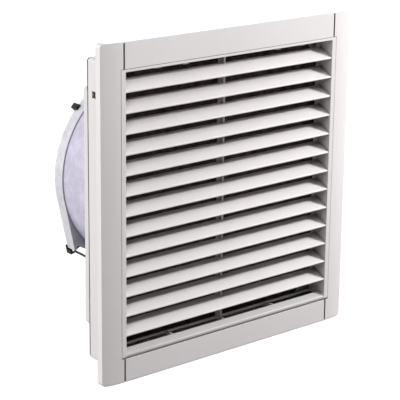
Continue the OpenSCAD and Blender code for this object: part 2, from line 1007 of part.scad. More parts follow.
module motor_shaft() {
    color([0.8, 0.8, 0.82])
        on_fan_axis()
            rotate_extrude()
                polygon([
                    [0, can_front_y - 3], [shaft_r, can_front_y - 3],
                    [shaft_r, hub_y - 4.4], [shaft_r - 0.6, hub_y - 4.4],
                    [shaft_r - 0.6, hub_y - 3.2], [shaft_r, hub_y - 3.2],
                    [shaft_r, hub_y - 1.5], [0, hub_y - 1.5]
                ]);
}

module retaining_ring() {
    color([0.35, 0.35, 0.36])
        fan_plate(hub_y - 4.3, hub_y - 3.3)
            difference() {
                circle(shaft_r + 2.2);
                circle(shaft_r - 0.5);
                translate([0, -1])
                    square([shaft_r + 3, 2]);
            }
}

module rotor_can() {
    color([0.2, 0.2, 0.22])
        difference() {
            on_fan_axis()
                rotate_extrude()
                    polygon([
                        [shaft_r, can_front_y - 4], [hub_boss_r, can_front_y - 4],
                        [hub_boss_r, can_front_y], [rotor_r - 3, can_front_y],
                        [rotor_r, can_front_y + 3], [rotor_r, can_rear_y],
                        [rotor_r - can_wall, can_rear_y], [rotor_r - can_wall, can_front_y + can_wall],
                        [hub_boss_r - 1, can_front_y + can_wall], [hub_boss_r - 1, can_front_y + can_wall + 1.5],
                        [shaft_r, can_front_y + can_wall + 1.5]
                    ]);
            for (a = [0 : 60 : 300])
                translate([27 * cos(a), 0, 27 * sin(a) - fan_drop])
                    rod_y(4.5, can_front_y - 1, can_front_y + can_wall + 1);
        }
}

module rotor_core() {
    color([0.5, 0.5, 0.53])
        fan_plate(stator_y, stator_y + stator_len)
            difference() {
                circle(rotor_r - can_wall);
                circle(stator_r + air_gap);
            }
}

// Outline of a blade seen along the axis, swept forward towards its tip
function blade_angle(t, edge) = blade_sweep * t * t + edge * (blade_half_angle + 2 * sin(180 * t));

module blade_outline() {
    steps = 8;
    root_r = rotor_r + band_t - 2;
    polygon(concat(
        [for (i = [0 : steps])
            let (t = i / steps, r = root_r + (tip_r + 3 - root_r) * t)
                [r * cos(blade_angle(t, 1)), r * sin(blade_angle(t, 1))]],
        [for (i = [steps : -1 : 0])
            let (t = i / steps, r = root_r + (tip_r + 3 - root_r) * t)
                [r * cos(blade_angle(t, -1)), r * sin(blade_angle(t, -1))]]
    ));
}

// Cambered sheet-metal blade: part of a hollow cylinder whose axis lies radially
module blade() {
    reach = 2 * tip_r;
    intersection() {
        rotate([blade_pitch, 0, 0])
            translate([0, 0, -camber_r])
                rotate([0, 90, 0])
                    difference() {
                        cylinder(r = camber_r + blade_t / 2, h = reach, $fn = 180);
                        translate([0, 0, -1])
                            cylinder(r = camber_r - blade_t / 2, h = reach + 2, $fn = 180);
                    }
        translate([0, 0, -blade_span_y / 2])
            linear_extrude(blade_span_y)
                difference() {
                    intersection() {
                        blade_outline();
                        circle(tip_r);
                    }
                    circle(rotor_r + band_t - 0.8);
                }
    }
}

module impeller() {
    color([0.3, 0.3, 0.32])
        on_fan_axis()
            union() {
                translate([0, 0, band_front_y])
                    difference() {
                        cylinder(r = rotor_r + band_t, h = band_len);
                        translate([0, 0, -1])
                            cylinder(r = rotor_r + seat_gap, h = band_len + 2);
                    }
                translate([0, 0, blade_y + 4])
                    for (i = [0 : blade_count - 1])
                        rotate(i * 360 / blade_count)
                            blade();
            }
}

// Guard

module guard_places() {
    for (a = guard_spoke_angles)
        translate([0, 0, -fan_drop])
            rotate([0, -a, 0])
                children();
}

module finger_guard() {
    rings = floor((guard_outer_r - guard_inner_r) / guard_pitch);
    color([0.78, 0.78, 0.8])
        union() {
            on_fan_axis()
                for (i = [0 : rings])
                    rotate_extrude()
                        translate([guard_inner_r + i * guard_pitch, guard_y + 0.8 * wire_d])
                            circle(wire_d / 2);
            guard_places()
                translate([0, guard_y, 0])
                    rod_x(wire_d / 2, guard_inner_r - 2, guard_outer_r);
        }
}

// Black clip over the outermost ring, held by a push rivet in the rim
module guard_clips() {
    top_y = guard_y + 1.3 * wire_d + seat_gap;
    leg_r = rim_r + seat_gap;
    leg_t = 2;
    color([0.1, 0.1, 0.1])
        guard_places()
            union() {
                translate([duct_r - 3, top_y, -guard_clip_w / 2])
                    cube([leg_r - duct_r + 3 + leg_t, guard_clip_t, guard_clip_w]);
                translate([leg_r, rivet_y - 1.8, -guard_clip_w / 2])
                    cube([leg_t, top_y - rivet_y + 1.8 + guard_clip_t, guard_clip_w]);
                translate([0, rivet_y, 0])
                    rod_x(rivet_r, duct_r + 1, leg_r + leg_t + 0.5);
                translate([0, rivet_y, 0])
                    rod_x(rivet_r + 0.7, leg_r + leg_t - 0.2, leg_r + leg_t + 1.2);
            }
}

// Cable

function sweep_side(route, i) =
    let (
        a = route[max(i - 1, 0)],
        b = route[min(i + 1, len(route) - 1)],
        d = (b - a) / norm(b - a)
    )
        cross(d, [0.6, 0.1, -0.8]) / norm(cross(d, [0.6, 0.1, -0.8]));

function sweep_ring(route, i, r, n) =
    let (
        a = route[max(i - 1, 0)],
        b = route[min(i + 1, len(route) - 1)],
        d = (b - a) / norm(b - a),
        u = sweep_side(route, i),
        v = cross(d, u)
    )
        [for (k = [0 : n - 1]) route[i] + r * (cos(360 * k / n) * u + sin(360 * k / n) * v)];

module sweep_tube(route, r, n) {
    m = len(route);
    points = [for (i = [0 : m - 1]) each sweep_ring(route, i, r, n)];
    walls = [
        for (i = [0 : m - 2])
            for (k = [0 : n - 1])
                each [
                    [i * n + k, (i + 1) * n + k, (i + 1) * n + (k + 1) % n],
                    [i * n + k, (i + 1) * n + (k + 1) % n, i * n + (k + 1) % n]
                ]
    ];
    first_cap = [[for (k = [0 : n - 1]) k]];
    last_cap = [[for (k = [n - 1 : -1 : 0]) (m - 1) * n + k]];
    polyhedron(points, concat(walls, first_cap, last_cap));
}

module motor_cable() {
    color([0.12, 0.13, 0.13])
        sweep_tube(cable_route, cable_d / 2, cable_sides);
}

// Small black clip on the end of the lug: the cable turns forward inside it
module cable_clip() {
    hold = cable_d + 3 * seat_gap;
    depth = 6.5;
    color([0.08, 0.08, 0.08])
        translate([lug_end[0], 0, lug_end[1] - fan_drop])
            rotate([0, 180 - lug_start, 0])
                union() {
                    translate([-clip_shell, fan_rear, -hold - 2 * clip_shell])
                        cube([lug_wall + 2 * clip_shell, clip_shell, hold + 2 * clip_shell + 3]);
                    translate([-clip_shell, fan_rear - depth, -hold - 2 * clip_shell])
                        cube([clip_shell, depth + 1, hold + clip_shell]);
                    translate([-clip_shell, fan_rear - depth, -hold - 2 * clip_shell])
                        cube([lug_wall + clip_shell, depth + 1, clip_shell]);
                }
}

// Supply terminals

module terminal_place() {
    translate([terminal_r * cos(lug_angle), 0, terminal_r * sin(lug_angle)])
        rotate([0, 45, 0])
            children();
}

module terminal_block() {
    s = terminal_size;
    color([0.9, 0.9, 0.88])
        terminal_place()
            difference() {
                translate([-s[0] / 2, body_depth, -s[2] / 2])
                    cube([s[0], s[1], s[2]]);
                for (i = [-1 : 1])
                    translate([i * terminal_pitch, 0, 0]) {
                        rod_y(terminal_screw_r + 0.3, body_depth + 6, body_depth + s[1] + 1);
                        translate([0, body_depth + 8, s[2] / 2 - 5])
                            cylinder(r = 2, h = 6);
                    }
            }
}

module terminal_screws() {
    color([0.75, 0.75, 0.77])
        terminal_place()
            for (i = [-1 : 1])
                translate([i * terminal_pitch, 0, 0])
                    difference() {
                        rod_y(terminal_screw_r, body_depth + 6.2, body_depth + terminal_size[1] - 3);
                        translate([0, body_depth + terminal_size[1] - 3, 0])
                            cube([2 * terminal_screw_r + 1, 1.6, 0.8], center = true);
                    }
}

module earth_place() {
    translate([24 * cos(70), 0, 24 * sin(70) - fan_drop])
        children();
}

module earth_screw() {
    color([0.8, 0.75, 0.4])
        earth_place()
            translate([0, hub_y + hub_t, 0])
                screw(1.6, hub_t - 0.4, 3.4, 2.2);
}

bezel_frame();
louvre_door();
hinge_pins();
door_latch_left();
door_latch_right();
filter_mat();
filter_grid();
base_frame();
gasket();
panel_clip_top_left();
panel_clip_top_right();
panel_clip_bottom_left();
panel_clip_bottom_right();
clip_pins();
fan_housing();
housing_screws();
motor_flange();
motor_screws();
stator_core();
stator_windings();
bearing_front();
bearing_rear();
motor_shaft();
rotor_can();
rotor_core();
impeller();
retaining_ring();
finger_guard();
guard_clips();
motor_cable();
cable_clip();
terminal_block();
terminal_screws();
earth_screw();
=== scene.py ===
import math

import bmesh
import bpy
from mathutils import Matrix, Vector


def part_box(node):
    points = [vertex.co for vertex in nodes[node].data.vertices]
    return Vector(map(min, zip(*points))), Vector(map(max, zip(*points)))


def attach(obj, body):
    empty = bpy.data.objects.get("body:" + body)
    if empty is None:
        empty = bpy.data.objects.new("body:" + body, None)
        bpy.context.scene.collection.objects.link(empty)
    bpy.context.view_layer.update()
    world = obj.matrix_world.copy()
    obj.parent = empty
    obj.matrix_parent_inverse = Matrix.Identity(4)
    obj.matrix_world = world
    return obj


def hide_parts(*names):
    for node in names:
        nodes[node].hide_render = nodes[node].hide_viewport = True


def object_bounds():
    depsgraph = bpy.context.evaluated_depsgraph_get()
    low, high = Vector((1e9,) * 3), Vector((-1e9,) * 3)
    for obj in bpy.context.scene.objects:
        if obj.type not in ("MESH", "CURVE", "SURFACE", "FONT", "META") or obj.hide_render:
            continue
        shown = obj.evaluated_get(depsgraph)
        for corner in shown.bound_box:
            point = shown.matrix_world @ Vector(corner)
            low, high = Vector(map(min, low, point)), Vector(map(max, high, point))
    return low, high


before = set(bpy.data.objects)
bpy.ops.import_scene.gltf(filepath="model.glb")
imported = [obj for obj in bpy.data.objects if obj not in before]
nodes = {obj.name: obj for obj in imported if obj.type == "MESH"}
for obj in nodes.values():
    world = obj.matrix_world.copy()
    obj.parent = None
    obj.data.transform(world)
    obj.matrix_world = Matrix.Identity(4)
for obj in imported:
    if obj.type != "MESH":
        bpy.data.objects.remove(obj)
cad_low, cad_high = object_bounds()
bpy.ops.object.select_all(action="DESELECT")


# The cover is moulded in one piece from light grey ABS: two flat header plates and
# two side rails that curve back. Its faces are spark-eroded to a fine satin grain,
# and its edges are broken by the mould.

cover_grey = (0.755, 0.715, 0.715, 1.0)


def group_sockets(tree, inputs, outputs):
    for name, kind, value in inputs:
        socket = tree.interface.new_socket(name, in_out="INPUT", socket_type=kind)
        socket.default_value = value
    for name, kind in outputs:
        tree.interface.new_socket(name, in_out="OUTPUT", socket_type=kind)
    return tree.nodes.new("NodeGroupInput"), tree.nodes.new("NodeGroupOutput")


def place_in_object(tree):
    return tree.nodes.new("ShaderNodeTexCoord").outputs["Object"]


def noise(tree, scale, detail=4.0, roughness=0.55, vector=None):
    node = tree.nodes.new("ShaderNodeTexNoise")
    node.inputs["Scale"].default_value = scale
    node.inputs["Detail"].default_value = detail
    node.inputs["Roughness"].default_value = roughness
    if vector is None:
        vector = place_in_object(tree)
    tree.links.new(vector, node.inputs["Vector"])
    return node


def remap(tree, value, low, high, to_low, to_high):
    node = tree.nodes.new("ShaderNodeMapRange")
    node.clamp = True
    tree.links.new(value, node.inputs["Value"])
    for name, number in (("From Min", low), ("From Max", high), ("To Min", to_low), ("To Max", to_high)):
        socket = node.inputs[name]
        if isinstance(number, (int, float)):
            socket.default_value = number
        else:
            tree.links.new(number, socket)
    return node.outputs["Result"]


def calculate(tree, operation, a, b):
    node = tree.nodes.new("ShaderNodeMath")
    node.operation = operation
    for socket, number in zip(node.inputs, (a, b)):
        if isinstance(number, (int, float)):
            socket.default_value = number
        else:
            tree.links.new(number, socket)
    return node.outputs[0]


def mix_colour(tree, factor, a, b):
    """Mixes two colours. The Mix node names its sockets for each kind of value, so they go by number."""
    node = tree.nodes.new("ShaderNodeMix")
    node.data_type = "RGBA"
    factor_at, a_at, b_at, colour_at = 0, 6, 7, 2
    for at, value in ((factor_at, factor), (a_at, a), (b_at, b)):
        if isinstance(value, bpy.types.NodeSocket):
            tree.links.new(value, node.inputs[at])
        else:
            node.inputs[at].default_value = value
    return node.outputs[colour_at]


# Shade is painted into the colour of moulded pieces: ambient occlusion darkens recesses within a piece
# and narrow slots between pieces.
painted_shade_reach = 0.02
painted_shade_full_at, painted_shade_none_at = 0.22, 0.72
slot_shade_reach = 0.006
slot_shade_full_at, slot_shade_none_at = 0.15, 0.7
edge_unworn, edge_worn = 0.999, 0.93
no_unshaded_stretch = -1.0


def shade_occlusion(tree, reach, own_piece):
    """Falls from 1 to 0 where walls within reach close a place in, and so sets where shade is painted.
    """
    node = tree.nodes.new("ShaderNodeAmbientOcclusion")
    node.samples = 8
    node.only_local = own_piece
    node.inputs["Distance"].default_value = reach
    return node


def moulded_skin_group():
    tree = bpy.data.node_groups.new("moulded_skin", "ShaderNodeTree")
    given, made = group_sockets(
        tree,
        [
            ("Colour", "NodeSocketColor", (0.7, 0.7, 0.7, 1.0)),
            ("Worn colour", "NodeSocketColor", (0.8, 0.8, 0.8, 1.0)),
            ("Painted recess shade", "NodeSocketColor", (0.2, 0.17, 0.16, 1.0)),
            ("Painted shade reach", "NodeSocketFloat", painted_shade_reach),
            ("Unshaded below", "NodeSocketFloat", no_unshaded_stretch),
            ("Grain scale", "NodeSocketFloat", 2600.0),
            ("Edge radius", "NodeSocketFloat", 0.0007),
            ("Roughness", "NodeSocketFloat", 0.5),
        ],
        [
            ("Colour", "NodeSocketColor"),
            ("Roughness", "NodeSocketFloat"),
            ("Height", "NodeSocketFloat"),
            ("Normal", "NodeSocketVector"),
        ],
    )
    grain = noise(tree, 2600.0, detail=2.0)
    tree.links.new(given.outputs["Grain scale"], grain.inputs["Scale"])
    flow = noise(tree, 9.0, detail=3.0)
    shade = remap(tree, flow.outputs["Fac"], 0.3, 0.7, 0.97, 1.015)
    speck = remap(tree, grain.outputs["Fac"], 0.3, 0.7, 0.985, 1.01)
    tone = calculate(tree, "MULTIPLY", shade, speck)
    toned = tree.nodes.new("ShaderNodeHueSaturation")
    tree.links.new(given.outputs["Colour"], toned.inputs["Color"])
    tree.links.new(tone, toned.inputs["Value"])
    bevel = tree.nodes.new("ShaderNodeBevel")
    bevel.samples = 6
    tree.links.new(given.outputs["Edge radius"], bevel.inputs["Radius"])
    flat = tree.nodes.new("ShaderNodeNewGeometry")
    turned = tree.nodes.new("ShaderNodeVectorMath")
    turned.operation = "DOT_PRODUCT"
    tree.links.new(bevel.outputs["Normal"], turned.inputs[0])
    tree.links.new(flat.outputs["Normal"], turned.inputs[1])
    rub = remap(tree, turned.outputs["Value"], edge_unworn, edge_worn, 0.0, 0.6)
    colour = mix_colour(tree, rub, toned.outputs["Color"], given.outputs["Worn colour"])
    # Painted shade: occlusion within the piece and in narrow slots next to other pieces darkens the
    # colour.
    recess = shade_occlusion(tree, slot_shade_reach, True)
    tree.links.new(given.outputs["Painted shade reach"], recess.inputs["Distance"])
    slot = shade_occlusion(tree, slot_shade_reach, False)
    openness = calculate(
        tree,
        "MULTIPLY",
        remap(tree, recess.outputs["AO"], painted_shade_full_at, painted_shade_none_at, 0.0, 1.0),
        remap(tree, slot.outputs["AO"], slot_shade_full_at, slot_shade_none_at, 0.0, 1.0),
    )
    # Below the given height, no shade is painted.
    place = tree.nodes.new("ShaderNodeSeparateXYZ")
    tree.links.new(place_in_object(tree), place.inputs["Vector"])
    below = calculate(tree, "LESS_THAN", place.outputs["Z"], given.outputs["Unshaded below"])
    openness = calculate(tree, "MAXIMUM", openness, below)
    colour = mix_colour(tree, openness, given.outputs["Painted recess shade"], colour)
    spread = remap(tree, grain.outputs["Fac"], 0.25, 0.75, -0.05, 0.05)
    rough = calculate(tree, "ADD", given.outputs["Roughness"], spread)
    tree.links.new(colour, made.inputs["Colour"])
    tree.links.new(rough, made.inputs["Roughness"])
    tree.links.new(grain.outputs["Fac"], made.inputs["Height"])
    tree.links.new(bevel.outputs["Normal"], made.inputs["Normal"])
    return tree


moulded_skin = moulded_skin_group()


def new_material(name, metallic=0.0, specular=0.5, coat=0.0):
    material = bpy.data.materials.new(name)
    material.use_nodes = True
    shader = material.node_tree.nodes["Principled BSDF"]
    shader.inputs["Metallic"].default_value = metallic
    shader.inputs["Specular IOR Level"].default_value = specular
    shader.inputs["Coat Weight"].default_value = coat
    return material, material.node_tree, shader


def place_group(tree, group, values):
    node = tree.nodes.new("ShaderNodeGroup")
    node.node_tree = group
    for name, value in values.items():
        node.inputs[name].default_value = value
    return node


def bumped(tree, shader, height, strength, distance, normal=None):
    bump = tree.nodes.new("ShaderNodeBump")
    bump.inputs["Strength"].default_value = strength
    bump.inputs["Distance"].default_value = distance
    tree.links.new(height, bump.inputs["Height"])
    if normal is not None:
        tree.links.new(normal, bump.inputs["Normal"])
    tree.links.new(bump.outputs["Normal"], shader.inputs["Normal"])


def lighter(colour, factor):
    return tuple(min(1.0, c * factor) for c in colour[:3]) + (1.0,)


def painted_recess_shade(colour):
    """The warm dark colour that is painted in as shade where little light gets in."""
    return 0.21 * colour[0], 0.175 * colour[1], 0.165 * colour[2], 1.0


def moulded_plastic(
    name,
    colour,
    roughness=0.5,
    grain=2600.0,
    edge=0.0007,
    specular=0.45,
    reach=painted_shade_reach,
    unshaded_below=no_unshaded_stretch,
):
    """Paints shade into recesses within reach, except on the part of the piece below the given height.
    """
    material, tree, shader = new_material(name, specular=specular)
    skin = place_group(
        tree,
        moulded_skin,
        {
            "Colour": colour,
            "Worn colour": lighter(colour, 1.08),
            "Painted recess shade": painted_recess_shade(colour),
            "Painted shade reach": reach,
            "Unshaded below": unshaded_below,
            "Grain scale": grain,
            "Edge radius": edge,
            "Roughness": roughness,
        },
    )
    tree.links.new(skin.outputs["Colour"], shader.inputs["Base Color"])
    tree.links.new(skin.outputs["Roughness"], shader.inputs["Roughness"])
    bumped(tree, shader, skin.outputs["Height"], 0.12, 0.0001, skin.outputs["Normal"])
    return material


def dress(material, *names):
    for name in names:
        mesh = nodes[name].data
        if not mesh.materials:
            mesh.materials.append(material)
        for i in range(len(mesh.materials)):
            mesh.materials[i] = material


dress(moulded_plastic("cover_grey_plastic", cover_grey, roughness=0.46), "bezel_frame")


# The louvre insert and its two catches are moulded from the same plastic. Thirteen slats
# lean back between two side walls, and the insert tilts out on two pins at the bottom.
# Its sill is painted darker than the rest, and no shade is painted on its hinge tabs in their recess.

slat_grey = (0.76, 0.725, 0.72, 1.0)
hinge_tabs_top = -0.1375
sill_top = -0.1352
sill_rear = -0.0275
sill_half = 0.1315
sill_tone = 0.7


# The top of the sill is painted darker than the rest of the insert.
def darken_sill(material):
    tree = material.node_tree
    colour = tree.nodes["Principled BSDF"].inputs["Base Color"]
    place = tree.nodes.new("ShaderNodeSeparateXYZ")
    tree.links.new(place_in_object(tree), place.inputs["Vector"])
    off_middle = calculate(tree, "ABSOLUTE", place.outputs["X"], 0.0)
    on_sill = calculate(tree, "LESS_THAN", off_middle, sill_half)
    for side, edge in (("Y", sill_rear), ("Z", sill_top)):
        inside = calculate(tree, "LESS_THAN", place.outputs[side], edge)
        on_sill = calculate(tree, "MULTIPLY", on_sill, inside)
    darkened = tree.nodes.new("ShaderNodeHueSaturation")
    tree.links.new(colour.links[0].from_socket, darkened.inputs["Color"])
    tree.links.new(remap(tree, on_sill, 0.0, 1.0, 1.0, sill_tone), darkened.inputs["Value"])
    tree.links.new(darkened.outputs["Color"], colour)


slat_plastic = moulded_plastic(
    "slat_grey_plastic", slat_grey, roughness=0.44, edge=0.0005, unshaded_below=hinge_tabs_top
)
darken_sill(slat_plastic)
dress(slat_plastic, "louvre_door", "door_latch_left", "door_latch_right")


# Small steel pins carry the insert and the panel clips. They are drawn wire, cut to
# length and left bare.

pin_grey = (0.56, 0.56, 0.57, 1.0)


def metal_skin_group():
    tree = bpy.data.node_groups.new("metal_skin", "ShaderNodeTree")
    given, made = group_sockets(
        tree,
        [
            ("Colour", "NodeSocketColor", (0.5, 0.5, 0.5, 1.0)),
            ("Dull colour", "NodeSocketColor", (0.3, 0.3, 0.3, 1.0)),
            ("Mark scale", "NodeSocketFloat", 300.0),
            ("Roughness", "NodeSocketFloat", 0.35),
            ("Spread", "NodeSocketFloat", 0.12),
        ],
        [
            ("Colour", "NodeSocketColor"),
            ("Roughness", "NodeSocketFloat"),
            ("Height", "NodeSocketFloat"),
        ],
    )
    marks = noise(tree, 300.0, detail=6.0, roughness=0.65)
    tree.links.new(given.outputs["Mark scale"], marks.inputs["Scale"])
    stain = noise(tree, 40.0, detail=5.0)
    amount = remap(tree, stain.outputs["Fac"], 0.42, 0.72, 0.0, 0.75)
    colour = mix_colour(tree, amount, given.outputs["Colour"], given.outputs["Dull colour"])
    low = calculate(tree, "SUBTRACT", given.outputs["Roughness"], given.outputs["Spread"])
    high = calculate(tree, "ADD", given.outputs["Roughness"], given.outputs["Spread"])
    rough = remap(tree, marks.outputs["Fac"], 0.3, 0.7, low, high)
    tree.links.new(colour, made.inputs["Colour"])
    tree.links.new(rough, made.inputs["Roughness"])
    tree.links.new(marks.outputs["Fac"], made.inputs["Height"])
    return tree


metal_skin = metal_skin_group()


def bare_metal(name, colour, dull=0.55, roughness=0.35, spread=0.12, marks=300.0):
    material, tree, shader = new_material(name, metallic=1.0)
    skin = place_group(
        tree,
        metal_skin,
        {
            "Colour": colour,
            "Dull colour": lighter(colour, dull),
            "Mark scale": marks,
            "Roughness": roughness,
            "Spread": spread,
        },
    )
    tree.links.new(skin.outputs["Colour"], shader.inputs["Base Color"])
    tree.links.new(skin.outputs["Roughness"], shader.inputs["Roughness"])
    bumped(tree, shader, skin.outputs["Height"], 0.1, 0.0002)
    return material


dress(bare_metal("drawn_pin_steel", pin_grey, roughness=0.3), "hinge_pins", "clip_pins")


# The base is a shallow square frame of grey plastic with a flange, a corner-cut body
# and a funnel that carries the fan. Its grain is coarse, and shade is painted far into its deep inside.
# The support grid behind the mat is the same plastic, a shade darker.

base_grey = (0.71, 0.68, 0.675, 1.0)
base_shade_reach = 0.09
grid_grey = lighter(base_grey, 0.96)

dress(moulded_plastic("base_grey_plastic", base_grey, grain=1900.0, reach=base_shade_reach), "base_frame")
dress(moulded_plastic("grid_grey_plastic", grid_grey, roughness=0.52, edge=0.0003), "filter_grid")


# The gasket is a square ring of black closed-cell foam, glued to the flange. It has
# small open pores where it was cut.

foam_black = (0.022, 0.022, 0.023, 1.0)
foam_bulge = 0.0011
foam_corner = 0.0036
foam_width = 0.0039
foam_edge = 0.0003
pore_scale = 1500.0


def deselected():
    if bpy.context.object is not None and bpy.context.object.mode == "EDIT":
        bpy.ops.object.mode_set(mode="OBJECT")
    bpy.ops.object.select_all(action="DESELECT")


def finished(piece):
    """Applies the piece's place, turn and scale to its mesh."""
    deselected()
    piece.select_set(True)
    bpy.context.view_layer.objects.active = piece
    bpy.ops.object.transform_apply(location=True, rotation=True, scale=True)


def apply_modifiers(piece):
    deselected()
    piece.select_set(True)
    bpy.context.view_layer.objects.active = piece
    for modifier in list(piece.modifiers):
        bpy.ops.object.modifier_apply(modifier=modifier.name)


def foam_rubber(name, colour):
    material, tree, shader = new_material(name, specular=0.25)
    cells = tree.nodes.new("ShaderNodeTexVoronoi")
    cells.inputs["Scale"].default_value = pore_scale
    tree.links.new(place_in_object(tree), cells.inputs["Vector"])
    pores = cells.outputs["Distance"]
    tint = remap(tree, pores, 0.1, 0.6, 0.0, 1.0)
    shade = mix_colour(tree, tint, lighter(colour, 0.6), lighter(colour, 1.7))
    tree.links.new(shade, shader.inputs["Base Color"])
    tree.links.new(remap(tree, pores, 0.0, 0.6, 0.95, 0.75), shader.inputs["Roughness"])
    bumped(tree, shader, pores, 0.4, 0.0003)
    return material


def foam_ring():
    deselected()
    gasket_low, gasket_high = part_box("gasket")
    side = 2 * (gasket_high.x + foam_bulge)
    middle = (gasket_low + gasket_high) / 2
    upright = (math.radians(90), 0.0, 0.0)
    bpy.ops.mesh.primitive_plane_add(size=side, location=middle, rotation=upright)
    ring = bpy.context.object
    ring.name = "foam_gasket_ring"
    finished(ring)
    bpy.ops.object.mode_set(mode="EDIT")
    bpy.ops.mesh.select_all(action="SELECT")
    bpy.ops.mesh.bevel(affect="VERTICES", offset=foam_corner, segments=6)
    bpy.ops.mesh.select_all(action="SELECT")
    bpy.ops.mesh.inset(thickness=foam_width)
    bpy.ops.mesh.delete(type="FACE")
    bpy.ops.object.mode_set(mode="OBJECT")
    thick = ring.modifiers.new("foam_thickness", "SOLIDIFY")
    thick.thickness = gasket_high.y - gasket_low.y
    thick.offset = 0.0
    soft = ring.modifiers.new("soft_edge", "BEVEL")
    soft.width = foam_edge
    soft.segments = 2
    apply_modifiers(ring)
    return ring


foam_gasket = foam_ring()
foam_gasket.data.materials.append(foam_rubber("black_foam_rubber", foam_black))
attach(foam_gasket, "frame")
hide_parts("gasket")


# The filter mat is one pad of dark grey fleece with cut corners. It lies on the grid,
# and its loose fibres show between the slats. Its colour is darkened further, as painted shade in the
# gaps between the slats.

fleece_and_shade_grey = (0.048, 0.036, 0.031, 1.0)
mat_cut = 0.029
mat_edge = 0.0022
fibre_grid = 0.0024
fibre_size = 0.006
fibre_loft = 0.0012
loft_level = 0.9


def fleece_mat():
    deselected()
    mat_low, mat_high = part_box("filter_mat")
    size = mat_high - mat_low
    bpy.ops.mesh.primitive_cube_add(size=1.0, location=(mat_low + mat_high) / 2)
    pad = bpy.context.object
    pad.name = "filter_fleece_pad"
    pad.scale = (size.x, size.y, size.z)
    finished(pad)
    bpy.ops.object.mode_set(mode="EDIT")
    bpy.ops.mesh.select_all(action="DESELECT")
    edit = bmesh.from_edit_mesh(pad.data)
    for edge in edit.edges:
        direction = (edge.verts[1].co - edge.verts[0].co).normalized()
        edge.select_set(abs(direction.y) > 0.9)
    bmesh.update_edit_mesh(pad.data)
    bpy.ops.mesh.bevel(offset=mat_cut, segments=1)
    bpy.ops.mesh.select_all(action="SELECT")
    bpy.ops.mesh.bevel(offset=mat_edge, segments=3)
    bpy.ops.mesh.select_all(action="SELECT")
    bpy.ops.mesh.quads_convert_to_tris()
    bpy.ops.object.mode_set(mode="OBJECT")
    remesh = pad.modifiers.new("even_grid", "REMESH")
    remesh.mode = "VOXEL"
    remesh.voxel_size = fibre_grid
    loft = pad.modifiers.new("lofty_fibres", "DISPLACE")
    texture = bpy.data.textures.new("fleece_loft", "CLOUDS")
    texture.noise_scale = fibre_size
    texture.noise_depth = 3
    loft.texture = texture
    loft.strength = fibre_loft
    loft.mid_level = loft_level
    apply_modifiers(pad)
    bpy.ops.object.shade_smooth()
    return pad


def fleece(name, colour):
    material, tree, shader = new_material(name, specular=0.05)
    shader.inputs["Sheen Weight"].default_value = 0.03
    shader.inputs["Sheen Roughness"].default_value = 0.6
    stretched = tree.nodes.new("ShaderNodeMapping")
    stretched.inputs["Scale"].default_value = (1.0, 1.0, 0.25)
    stretched.inputs["Rotation"].default_value = (0.0, math.radians(35), 0.0)
    tree.links.new(place_in_object(tree), stretched.inputs["Vector"])
    fibres = noise(tree, 1400.0, detail=6.0, roughness=0.7, vector=stretched.outputs["Vector"])
    clumps = noise(tree, 120.0, detail=3.0)
    both = calculate(tree, "MULTIPLY", fibres.outputs["Fac"], clumps.outputs["Fac"])
    tint = remap(tree, both, 0.15, 0.4, 0.0, 1.0)
    shade = mix_colour(tree, tint, lighter(colour, 0.5), lighter(colour, 2.2))
    tree.links.new(shade, shader.inputs["Base Color"])
    tree.links.new(remap(tree, fibres.outputs["Fac"], 0.2, 0.8, 1.0, 0.85), shader.inputs["Roughness"])
    bumped(tree, shader, both, 0.8, 0.0006)
    return material


fleece_pad = fleece_mat()
fleece_pad.data.materials.append(fleece("filter_fleece_darkened_as_shade", fleece_and_shade_grey))
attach(fleece_pad, "frame")
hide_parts("filter_mat")


# Four spring-steel clips grip behind the panel. They are stamped from strip and left
# bare, slightly blue from hardening. The retaining ring on the shaft is phosphated.

hardened_blue = (0.42, 0.43, 0.46, 1.0)
phosphate_black = (0.10, 0.10, 0.11, 1.0)

dress(
    bare_metal("hardened_spring_steel", hardened_blue, roughness=0.38, marks=500.0),
    "panel_clip_top_left",
    "panel_clip_top_right",
    "panel_clip_bottom_left",
    "panel_clip_bottom_right",
)
dress(bare_metal("phosphated_spring_steel", phosphate_black, roughness=0.45), "retaining_ring")


# The fan housing is die-cast and lacquered a cool lavender grey. Flow marks and small
# stains show on the skin. A highlight is painted on the rim band, and shade is painted into its hollows.

housing_grey = (0.60, 0.565, 0.69, 1.0)
rim_highlight_grey = (0.66, 0.665, 0.675, 1.0)
rim_radius = 0.1052
rim_blend = 0.0004
housing_shade_reach = 0.035
housing_shade_full_at, housing_shade_none_at = 0.3, 0.8
fan_centre = (0.0, 0.0, -0.004)
across_axis = (1.0, 0.0, 1.0)


